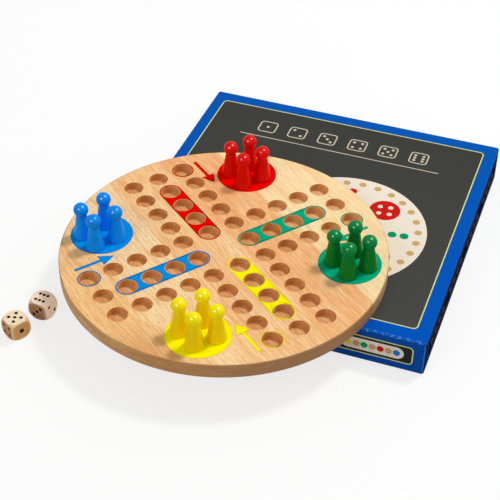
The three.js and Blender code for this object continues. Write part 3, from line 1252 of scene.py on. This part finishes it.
class Die:
    """A tumbled wooden die whose corners are rounded down to a round flat on each face."""

    size = 16.0
    face_diameter = 16.2  # of the flats; a little over the size, so that they meet in short edges
    softness = 0.35  # how far the flats blend into the rounded corners
    grid = 44
    pip_radius = 1.35
    ace_radius = 1.95
    pip_depth = 0.5
    pip_offset = 3.3

    def __init__(self, node: str, turn: float, axes: Callable[[Vector, Vector, Vector], tuple]) -> None:
        """Notes which die this is and how it lies.

        Args:
            node: The die's CAD node.
            turn: The direction of its right face, in degrees from +X.
            axes: Gives the die's own X, Y and Z from the directions of its right, left and top face.
        """
        self.node = node
        angle = math.radians(turn)
        right = Vector((math.cos(angle), math.sin(angle), 0))
        left = Vector((math.sin(angle), -math.cos(angle), 0))
        columns = axes(right, left, Vector((0, 0, 1)))
        rotation = Matrix(columns).transposed().to_4x4()
        self.place = Matrix.Translation(middle(node)) @ rotation

    def reach(self, direction: Vector) -> float:
        """Gives the distance from the die's middle to its surface.

        Args:
            direction: The direction to look in, of length 1.

        Returns:
            The distance, in millimetres.
        """
        half = self.size / 2
        flat = half / max(abs(c) for c in direction)
        ball = math.hypot(half, self.face_diameter / 2)
        blend = max(self.softness - abs(flat - ball), 0) / self.softness
        return min(flat, ball) - blend * blend * self.softness / 4

    def body(self) -> bpy.types.Mesh:
        """Builds the die without its pips: a finely divided cube drawn in to the rounded form.

        Returns:
            Its mesh.
        """
        shape = Shape(self.node + "_tumbled")
        bmesh.ops.create_cube(shape.mesh, size=2.0)
        bmesh.ops.subdivide_edges(shape.mesh, edges=shape.mesh.edges[:], cuts=self.grid, use_grid_fill=True)
        for vert in shape.mesh.verts:
            spread = Vector([math.tan(c * math.pi / 4) for c in vert.co])
            direction = spread.normalized()
            vert.co = direction * self.reach(direction) * MM
        for face in shape.mesh.faces:
            face.smooth = True
        shape.index(DIE_BEECH[self.node])
        return shape.finish_mesh()

    def pip_places(self) -> list[tuple[Vector, float]]:
        """Works out the balls that cut the pips.

        Returns:
            The middle and the radius of each ball.
        """
        diagonal = [(-1, -1), (1, 1)]
        other = [(-1, 1), (1, -1)]
        middles = [(-1, 0), (1, 0)]
        faces = [
            ((1, 0, 0), [(0, 0)]),
            ((0, 1, 0), diagonal),
            ((0, 0, 1), [*other, (0, 0)]),
            ((0, 0, -1), diagonal + other),
            ((0, -1, 0), [*diagonal, *other, (0, 0)]),
            ((-1, 0, 0), diagonal + other + middles),
        ]
        places = []
        for outward, pips in faces:
            turn = Vector((0, 0, 1)).rotation_difference(Vector(outward))
            radius = self.ace_radius if len(pips) == 1 else self.pip_radius
            ball = (radius**2 + self.pip_depth**2) / (2 * self.pip_depth)
            for along, across in pips:
                height = self.size / 2 + ball - self.pip_depth
                spot = Vector((along * self.pip_offset, across * self.pip_offset, height))
                places.append((turn @ spot, ball))
        return places

    def build(self) -> None:
        """Builds the die, cuts its pips and lets it ride in place of its node."""
        piece = add_object(self.node + "_tumbled", self.body(), self.place)
        cutter_shape = Shape(self.node + "_pips")
        for spot, ball in self.pip_places():
            bmesh.ops.create_icosphere(
                cutter_shape.mesh, subdivisions=4, radius=ball * MM, matrix=Matrix.Translation(spot * MM)
            )
        for face in cutter_shape.mesh.faces:
            face.smooth = True
        cutter_shape.index(PIP_PAINT)
        cutter = add_object(self.node + "_pips", cutter_shape.finish_mesh(), self.place)
        cut = piece.modifiers.new("pips", "BOOLEAN")
        cut.object = cutter
        cut.operation = "DIFFERENCE"
        cut.solver = "EXACT"
        cut.material_mode = "TRANSFER"
        bpy.context.view_layer.update()
        evaluated = piece.evaluated_get(bpy.context.evaluated_depsgraph_get())
        mesh = bpy.data.meshes.new_from_object(evaluated)
        piece.modifiers.clear()
        piece.data = mesh
        bpy.data.objects.remove(cutter)
        settle(piece, self.node, [self.node])


@dataclass
class Carton:
    """The box: a greyboard tray under a wrapped lid whose top and sides carry a printed design."""

    wall: float = 1.2
    corner_rounding: float = 2.0
    edge_rounding: float = 1.5
    corner_steps: int = 8
    edge_steps: int = 8
    border: Point = (10.2, 12.4)
    line: float = 0.9
    panel_rounding: float = 4.0
    side_line: float = 0.9
    side_margin: float = 8.8
    side_low_share: float = 0.21
    side_high_share: float = 0.81
    side_rounding: float = 3.4
    least_rounding: float = 0.05
    # that side's prints are darker copies of the others, as painted shade
    dim_side: int = 3  # the right one, counted from the back one anticlockwise

    def __post_init__(self) -> None:
        """Reads the box's sizes from the frame."""
        self.lid_low, self.lid_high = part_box("box_lid")
        self.tray_low, self.tray_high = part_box("box_tray")

    def shell(
        self,
        shape: Shape,
        side: float,
        profile: list[Point],
        corner: Sequence[Finish],
        edge: Finish | Callable,
    ) -> list:
        """Adds rings of a square with round corners, with the flat sides between the corners left out.

        Args:
            shape: The mesh.
            side: The side of the square, in millimetres.
            profile: Height and inset of each ring, from below.
            corner: What the upright corners are made of, one finish for each of their steps.
            edge: What the rounding above them is made of, or what gives that for a face's number.

        Returns:
            The rings.
        """
        rings = []
        for height, inset in profile:
            radius = max(self.corner_rounding - inset, self.least_rounding)
            half = side / 2 - inset
            rings.append(shape.ring(rounded_box((0, 0), (half, half), radius, self.corner_steps), height))
        steps = [*corner, None]
        shape.join(rings[0], rings[1], lambda i: steps[i % len(steps)])
        for lower, upper in zip(rings[1:], rings[2:], strict=False):
            shape.join(lower, upper, edge)
        return rings

    def hollow(
        self, shape: Shape, side: float, bottom: float, top: float, upward: bool, finish: Finish
    ) -> list:
        """Adds the inside of a tray or a lid: four walls and a floor or ceiling.

        Args:
            shape: The mesh.
            side: The inside width.
            bottom: The height where the hollow starts.
            top: The height where it ends.
            upward: Whether it is open at the top.
            finish: What the inside is made of.

        Returns:
            The ring at the open end.
        """
        half = side / 2
        corners = [(half, half), (-half, half), (-half, -half), (half, -half)]
        lower = shape.ring(corners, bottom)
        upper = shape.ring(corners, top)
        shape.join(upper, lower, finish, smooth=False)
        closed, normal = (lower, Vector((0, 0, 1))) if upward else (upper, Vector((0, 0, -1)))
        shape.fill(closed, [], finish, normal)
        return upper if upward else lower

    def build_tray(self) -> None:
        """Builds the tray, with its square folded corners."""
        shape = Shape("tray_board")
        height = self.tray_high.z / MM
        side = (self.tray_high.x - self.tray_low.x) / MM
        rings = self.shell(shape, side, [(0, 0), (height, 0)], [GREYBOARD] * self.corner_steps, GREYBOARD)
        count = self.corner_steps + 1
        number = shape.index(GREYBOARD)
        for corner in range(4):
            i = corner * count + count - 1
            j = (i + 1) % len(rings[0])
            face = shape.mesh.faces.new((rings[0][i], rings[0][j], rings[1][j], rings[1][i]))
            face.material_index = number
        shape.fill(rings[0], [], GREYBOARD, Vector((0, 0, -1)))
        mouth = self.hollow(shape, side - 2 * self.wall, self.wall, height, True, GREYBOARD)
        shape.fill(rings[1], [mouth], GREYBOARD, Vector((0, 0, 1)))
        piece = add_object("tray_board", shape.finish_mesh(), Matrix.Identity(4))
        settle(piece, "tray", ["box_tray"])

    def build_lid(self) -> None:
        """Builds the lid with its printed top and sides."""
        shape = Shape("lid_wrap")
        bottom, top = self.lid_low.z / MM, self.lid_high.z / MM
        side = (self.lid_high.x - self.lid_low.x) / MM
        profile = [(bottom, 0.0)]
        for x, y in arc((0, 0), self.edge_rounding, 0, QUARTER_TURN, self.edge_steps):
            profile.append((top - self.edge_rounding + y, self.edge_rounding - x))
        # Across each upright corner: side blue, a painted highlight on the fold, a painted shadow in the
        # seam, side blue.
        corner = [BLUE_SHADED_SIDE_PRINT] * self.corner_steps
        corner[2:4] = [FOLD_HIGHLIGHT_PRINT] * 2
        corner[4:7] = [SEAM_SHADE] * 3
        # Only the front top edge is rubbed; its pale flakes are partly wear, partly a painted highlight.
        front = 3 * (self.corner_steps + 1) - 1

        def edge(number: int) -> PrintedWrap:
            """The front edge is rubbed and carries a painted highlight, and the others are not."""
            return BLUE_WORN_HIGHLIT_EDGE_PRINT if number == front else BLUE_PRINT

        rings = self.shell(shape, side, profile, corner, edge)
        mouth = self.hollow(shape, side - 2 * self.wall, bottom, top - self.wall, False, GREYBOARD)
        shape.fill(rings[0], [mouth], BLUE_SHADED_SIDE_PRINT, Vector((0, 0, -1)))
        self.print_top(shape, rings[-1], side, top)
        self.print_sides(shape, rings[0], rings[1], side, bottom, top - self.edge_rounding)
        piece = add_object("lid_wrap", shape.finish_mesh(), Matrix.Identity(4))
        settle(piece, "lid", ["box_lid"])

    def print_top(self, shape: Shape, edge: list, side: float, top: float) -> None:
        """Fills the lid's top: a blue border, a cream line and a charcoal panel with motifs.

        Args:
            shape: The lid's mesh.
            edge: The ring that bounds the flat top.
            side: The lid's width.
            top: Its height.
        """
        up = Vector((0, 0, 1))
        outer_half = (side / 2 - self.border[0], side / 2 - self.border[1])
        inner_half = (outer_half[0] - self.line, outer_half[1] - self.line)
        steps = self.corner_steps
        outer = shape.ring(rounded_box((0, 0), outer_half, self.panel_rounding, steps), top)
        inner = shape.ring(rounded_box((0, 0), inner_half, self.panel_rounding - self.line, steps), top)
        shape.fill(edge, [outer], BLUE_PRINT, up)
        shape.fill(outer, [inner], CREAM_PRINT, up)
        motifs = TopMotifs(shape, inner_half, lambda loop: shape.ring(loop, top), up)
        shape.fill(inner, motifs.draw(), DARK_PRINT, up)

    def print_sides(
        self, shape: Shape, low: list, high: list, side: float, bottom: float, top: float
    ) -> None:
        """Fills the lid's four flat sides: blue, with a charcoal panel inside a cream line.

        Args:
            shape: The lid's mesh.
            low: The ring at the skirt's foot.
            high: The ring where the top edge starts to round.
            side: The lid's width.
            bottom: The height of the skirt's foot.
            top: The height of that upper ring.
        """
        count = self.corner_steps + 1
        half_length = side / 2 - self.side_margin
        level = bottom + (top - bottom) * (self.side_low_share + self.side_high_share) / 2
        half_height = (top - bottom) * (self.side_high_share - self.side_low_share) / 2
        for corner in range(4):
            i = corner * count + count - 1
            j = (i + 1) % len(low)
            outward = Vector((0, 1, 0))
            outward.rotate(Matrix.Rotation(corner * QUARTER_TURN, 3, "Z"))
            along = up_cross(outward)
            face_middle = outward * (side / 2) + Vector((0, 0, level))

            def put(loop: Outline, origin: Vector = face_middle, axis: Vector = along) -> list:
                """Adds a loop given along the side and upwards from the panel's middle."""
                return shape.points([origin + axis * x + Vector((0, 0, y)) for x, y in loop])

            outer_size = (half_length, half_height)
            outer = put(rounded_box((0, 0), outer_size, self.side_rounding, self.corner_steps))
            inner_size = (half_length - self.side_line, half_height - self.side_line)
            radius = self.side_rounding - self.side_line
            inner = put(rounded_box((0, 0), inner_size, radius, self.corner_steps))
            # painted shade: the right side takes darker copies of the prints
            prints = SHADED_RIGHT_SIDE if corner == self.dim_side else LIT_SIDE
            shape.fill([low[i], low[j], high[j], high[i]], [outer], prints.ground, outward)
            shape.fill(outer, [inner], prints.line, outward)
            motifs = SideMotifs(shape, inner_size, put, outward, prints)
            shape.fill(inner, motifs.draw(), prints.panel, outward)

    def build(self) -> None:
        """Builds the tray and the lid."""
        self.build_tray()
        self.build_lid()


def up_cross(outward: Vector) -> Vector:
    """The direction that runs to the right along an upright face, seen from outside."""
    return Vector((0, 0, 1)).cross(outward)


class Motifs:
    """Flat printed shapes inside a panel."""

    pip_spacing = 0.45  # of half the width of a pip face
    face_rounding = 0.28
    pip_sides = 20
    corner_steps = 5

    def __init__(self, shape: Shape, size: Point, put: Callable[[Outline], list], facing: Vector) -> None:
        """Notes where the shapes go.

        Args:
            shape: The lid's mesh.
            size: Half the panel's width and half its height.
            put: Adds an outline's points to the mesh.
            facing: The direction that the panel looks in.
        """
        self.shape = shape
        self.size = size
        self.put = put
        self.facing = facing

    def patch(self, outline: Outline, finish: Finish, inside: Sequence[list] = ()) -> list:
        """Adds a filled shape.

        Args:
            outline: Its outline.
            finish: Its print.
            inside: The rings of the shapes that lie in it.

        Returns:
            Its ring.
        """
        ring = self.put(outline)
        self.shape.fill(ring, inside, finish, self.facing)
        return ring

    def pip_face(self, centre: Point, half: float, count: int, line: float, pip: float, dark: Finish) -> list:
        """Adds the sign of a die's face: a rounded square in outline, with its pips.

        Args:
            centre: Its middle.
            half: Half its width.
            count: How many pips it has.
            line: The width of its outline.
            pip: The radius of a pip.
            dark: The print between the pips.

        Returns:
            Its outer ring.
        """
        step = half * self.pip_spacing
        rounding = half * self.face_rounding
        places = {
            1: [(0, 0)],
            2: [(-1, 1), (1, -1)],
            3: [(-1, 1), (0, 0), (1, -1)],
            4: [(-1, -1), (-1, 1), (1, -1), (1, 1)],
            5: [(-1, -1), (-1, 1), (0, 0), (1, -1), (1, 1)],
            6: [(-1, -1), (-1, 0), (-1, 1), (1, -1), (1, 0), (1, 1)],
        }[count]
        spots = [(centre[0] + x * step, centre[1] + y * step) for x, y in places]
        dots = [self.patch(circle(spot, pip, self.pip_sides), SAND_PRINT) for spot in spots]
        room = (half - line, half - line)
        inner = self.patch(rounded_box(centre, room, rounding, self.corner_steps), dark, dots)
        outline = rounded_box(centre, (half, half), rounding + line, self.corner_steps)
        return self.patch(outline, SAND_PRINT, [inner])


class TopMotifs(Motifs):
    """The lid's top: a row of pip faces over a fine rule, and a pale disc of dots and coloured fields."""

    faces = 6
    face_half = 8.0
    face_line = 1.1
    face_pip = 1.35
    face_row = 89.0
    face_spacing = 27.0
    rule_row = 73.5
    rule_width = 0.9
    rule_rounding = 0.405
    rule_reach = 88.0
    disc_centre = (34.0, -22.0)
    disc_radius = 66.0
    ring_radius = 59.0
    ring_dots = 28
    ring_dot = 3.0
    field_radius = 41.0
    field_size = 12.5
    field_turn = -38.0
    field_pip = 2.1
    field_pip_radius = 6.0
    lane_radii = (20.0, 29.5, 39.0, 48.5)
    lane_dot = 3.6
    hub_radius = 8.0

    def draw(self) -> list[list]:
        """Draws the motifs.

        Returns:
            The outermost ring of each.
        """
        loops = []
        for number in range(self.faces):
            centre = ((number - (self.faces - 1) / 2) * self.face_spacing, self.face_row)
            sizes = (self.face_line, self.face_pip)
            loops.append(self.pip_face(centre, self.face_half, number + 1, *sizes, DARK_PRINT))
        half = (self.rule_reach, self.rule_width / 2)
        rule = rounded_box((0, self.rule_row), half, self.rule_rounding, 2)
        loops.append(self.patch(rule, SAND_PRINT))
        loops.append(self.disc())
        return loops

    def around(self, centre: Point, radius: float, turns: float) -> Point:
        """Gives a place on a ring.

        Args:
            centre: The ring's centre.
            radius: Its radius.
            turns: How many full turns the place is from where the first field lies.

        Returns:
            The place.
        """
        angle = FULL_TURN * turns + math.radians(self.field_turn)
        return (centre[0] + radius * math.cos(angle), centre[1] + radius * math.sin(angle))

    def disc(self) -> list:
        """Draws the pale disc: a ring of tan dots, and for each colour a field and a lane of dots.

        Returns:
            The disc's ring.
        """
        loops = []
        for n in range(self.ring_dots):
            spot = self.around(self.disc_centre, self.ring_radius, n / self.ring_dots)
            loops.append(self.patch(circle(spot, self.ring_dot, 24), TAN_PRINT))
        for side in Side:
            ink = DOT_PRINTS[side]
            field = self.around(self.disc_centre, self.field_radius, side.quarter / 4)
            spots = [self.around(field, self.field_pip_radius, n / 4) for n in range(4)]
            pips = [self.patch(circle(spot, self.field_pip, 16), PALE_PRINT) for spot in spots]
            loops.append(self.patch(circle(field, self.field_size, 48), ink, pips))
            for radius in self.lane_radii:
                spot = self.around(self.disc_centre, radius, side.quarter / 4 + 1 / 8)
                loops.append(self.patch(circle(spot, self.lane_dot, 24), ink))
        loops.append(self.patch(circle(self.disc_centre, self.hub_radius, 40), TAN_PRINT))
        return self.patch(circle(self.disc_centre, self.disc_radius, 120), PALE_PRINT, loops)


class SideMotifs(Motifs):
    """A side's panel: pale tracks in a row, each with dots of the four colours and tan between."""

    tracks = 4
    track_share = 0.72  # of the panel's height
    length_share = 0.8  # of the room that a track has
    dots = 7
    dot_share = 0.5

    def __init__(
        self, shape: Shape, size: Point, put: Callable[[Outline], list], facing: Vector, prints: SidePrints
    ) -> None:
        """Notes where the shapes go, as for all motifs, and the side's prints.

        Args:
            shape: The lid's mesh.
            size: Half the panel's width and half its height.
            put: Adds an outline's points to the mesh.
            facing: The direction that the panel looks in.
            prints: The inks on this side.
        """
        super().__init__(shape, size, put, facing)
        self.prints = prints

    def draw(self) -> list[list]:
        """Draws the motifs.

        Returns:
            The outermost ring of each.
        """
        half_length, half_height = self.size
        radius = half_height * self.track_share
        room = 2 * half_length / self.tracks
        reach = room * self.length_share / 2 - radius
        coloured = self.prints.dots
        loops = []
        for n in range(self.tracks):
            centre = (n + 0.5) * room - half_length
            dots = []
            for d in range(self.dots):
                spot = (centre + (2 * d / (self.dots - 1) - 1) * reach, 0.0)
                own = self.prints.between if d % 2 else coloured[(d // 2 + n) % len(coloured)]
                dots.append(self.patch(circle(spot, radius * self.dot_share, 20), own))
            track = capsule((centre - reach, 0.0), (centre + reach, 0.0), radius, 14)
            loops.append(self.patch(track, self.prints.track, dots))
        return loops


@dataclass
class Studio:
    """The floor, the lamps, the world's light and the camera at the photograph's view."""

    floor_size: float = 12.0
    low_sky: float = 0.7  # the light from near the horizon, where 1 shows white as white
    high_sky: float = 0.38
    low_rise: float = 0.42  # the sine of the elevation up to which the light is that of the low sky
    high_rise: float = 0.77
    lamp_distance: float = 2.2
    window_beam: float = 35.0
    camera_place: tuple[float, float, float] = (230.19, -783.62, 664.76)
    azimuth: float = 19.79
    elevation: float = 40.02
    roll: float = 0.29
    focal_pixels: float = 1276.02
    sensor_width: float = 36.0
    clip: Point = (0.01, 50.0)  # the nearest and farthest that the camera shows, in metres

    def build_floor(self) -> None:
        """Lays a plain pale floor that keeps the object's shadow."""
        shape = Shape("floor")
        half = self.floor_size / 2 / MM
        ring = shape.ring([(-half, -half), (half, -half), (half, half), (-half, half)], 0)
        shape.fill(ring, [], FLOOR, Vector((0, 0, 1)))
        floor = add_object("floor", shape.finish_mesh(), Matrix.Identity(4))

    def lamp(
        self,
        name: str,
        direction: tuple[float, float, float],
        size: float,
        share: float,
        prefix: str = "",
        beam: float = 0.0,
    ) -> bpy.types.Object:
        """Adds a square lamp that looks at the object.

        Args:
            name: The lamp's name.
            direction: From the object towards the lamp.
            size: The side of its square, in metres.
            share: The light that it gives a surface that faces it, where 1 shows white as white.
            prefix: How the names start of the pieces that it lights. Only they cast shadows in its light.
                Empty lights all.
            beam: Half the angle of its beam, in degrees. 0 leaves the beam wide open.

        Returns:
            The lamp.
        """
        light = bpy.data.lights.new(name, "AREA")
        light.shape = "SQUARE"
        light.size = size
        light.energy = share * math.pi**2 * self.lamp_distance**2
        if beam:
            half = math.radians(beam)
            light.spread = 2 * half
            light.energy *= 1 - half / math.tan(half)  # a narrow beam needs less power for the same light
        lamp = bpy.data.objects.new(name, light)
        bpy.context.scene.collection.objects.link(lamp)
        aim = Vector(direction).normalized()
        lamp.location = aim * self.lamp_distance
        lamp.rotation_euler = aim.to_track_quat("Z", "Y").to_euler()
        if prefix:
            lit = bpy.data.collections.new(name + " receivers")
            for piece in bpy.context.scene.objects:
                if piece.name.startswith(prefix):
                    lit.objects.link(piece)
            lamp.light_linking.receiver_collection = lit
            lamp.light_linking.blocker_collection = lit
        return lamp

    def build_lamps(self) -> None:
        """Adds the key and the fill, a lamp for the dice, and the window lights that show in the lacquer."""
        self.lamp("key lamp", (0.293, 0.349, 0.89), 0.34, 0.5)
        self.lamp("fill lamp", (-0.36, -0.76, 0.56), 0.5, 0.1)
        self.lamp("dice lamp", (0.90, 0.10, 0.42), 0.3, 0.38, "die_back")
        for name, direction, size, share in (
            ("bright window", (0.41, 0.14, 0.90), 0.3, 4.0),
            ("dim window", (-0.23, -0.76, 0.61), 0.2, 2.6),
        ):
            self.lamp(name, direction, size, share, "pawn_", self.window_beam).visible_diffuse = False

    def build_world(self) -> None:
        """Lights the scene from all round, more from low down than from above."""
        world = bpy.data.worlds.new("studio world")
        bpy.context.scene.world = world
        world.use_nodes = True
        tree = world.node_tree
        tree.nodes.clear()
        direction = add_node(tree, "TexCoord").outputs["Generated"]
        rise = add_node(tree, "SeparateXYZ", {0: direction}).outputs["Z"]
        ends = {1: self.low_rise, 2: self.high_rise, 3: self.low_sky, 4: self.high_sky}
        strength = add_node(tree, "MapRange", {"Value": rise, **ends})
        sky = add_node(tree, "Background", {"Color": linear("#ffffff"), "Strength": strength.outputs[0]})
        add_node(tree, "OutputWorld", {"Surface": sky.outputs[0]})

    def build_camera(self) -> None:
        """Puts the camera at the photograph's view."""
        data = bpy.data.cameras.new("camera")
        data.sensor_width = self.sensor_width
        data.lens = self.focal_pixels / PICTURE_PIXELS * self.sensor_width
        data.clip_start, data.clip_end = self.clip
        camera = bpy.data.objects.new("camera", data)
        bpy.context.scene.collection.objects.link(camera)
        turn = Matrix.Rotation(math.radians(self.azimuth), 4, "Z")
        tilt = Matrix.Rotation(QUARTER_TURN - math.radians(self.elevation), 4, "X")
        roll = Matrix.Rotation(math.radians(self.roll), 4, "Z")
        spot = Vector(self.camera_place) * MM
        camera.matrix_world = Matrix.Translation(spot) @ turn @ tilt @ roll
        bpy.context.scene.camera = camera

    def build(self) -> None:
        """Builds the whole studio."""
        self.build_floor()
        self.build_lamps()
        self.build_world()
        self.build_camera()
        bpy.context.scene.view_settings.view_transform = "Standard"


def main() -> None:
    """Builds the game, its stage and the size note."""
    logging.basicConfig(level=logging.INFO, format="%(message)s")
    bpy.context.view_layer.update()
    Carton().build()
    Board().build()
    Pawn().build()
    Die("die_front", turn=-29.6, axes=lambda right, left, up: (right, -up, -left)).build()
    Die("die_back", turn=-5.5, axes=lambda right, left, up: (-up, right, left)).build()
    Studio().build()
    bpy.context.view_layer.update()


if __name__ == "__main__":
    main()
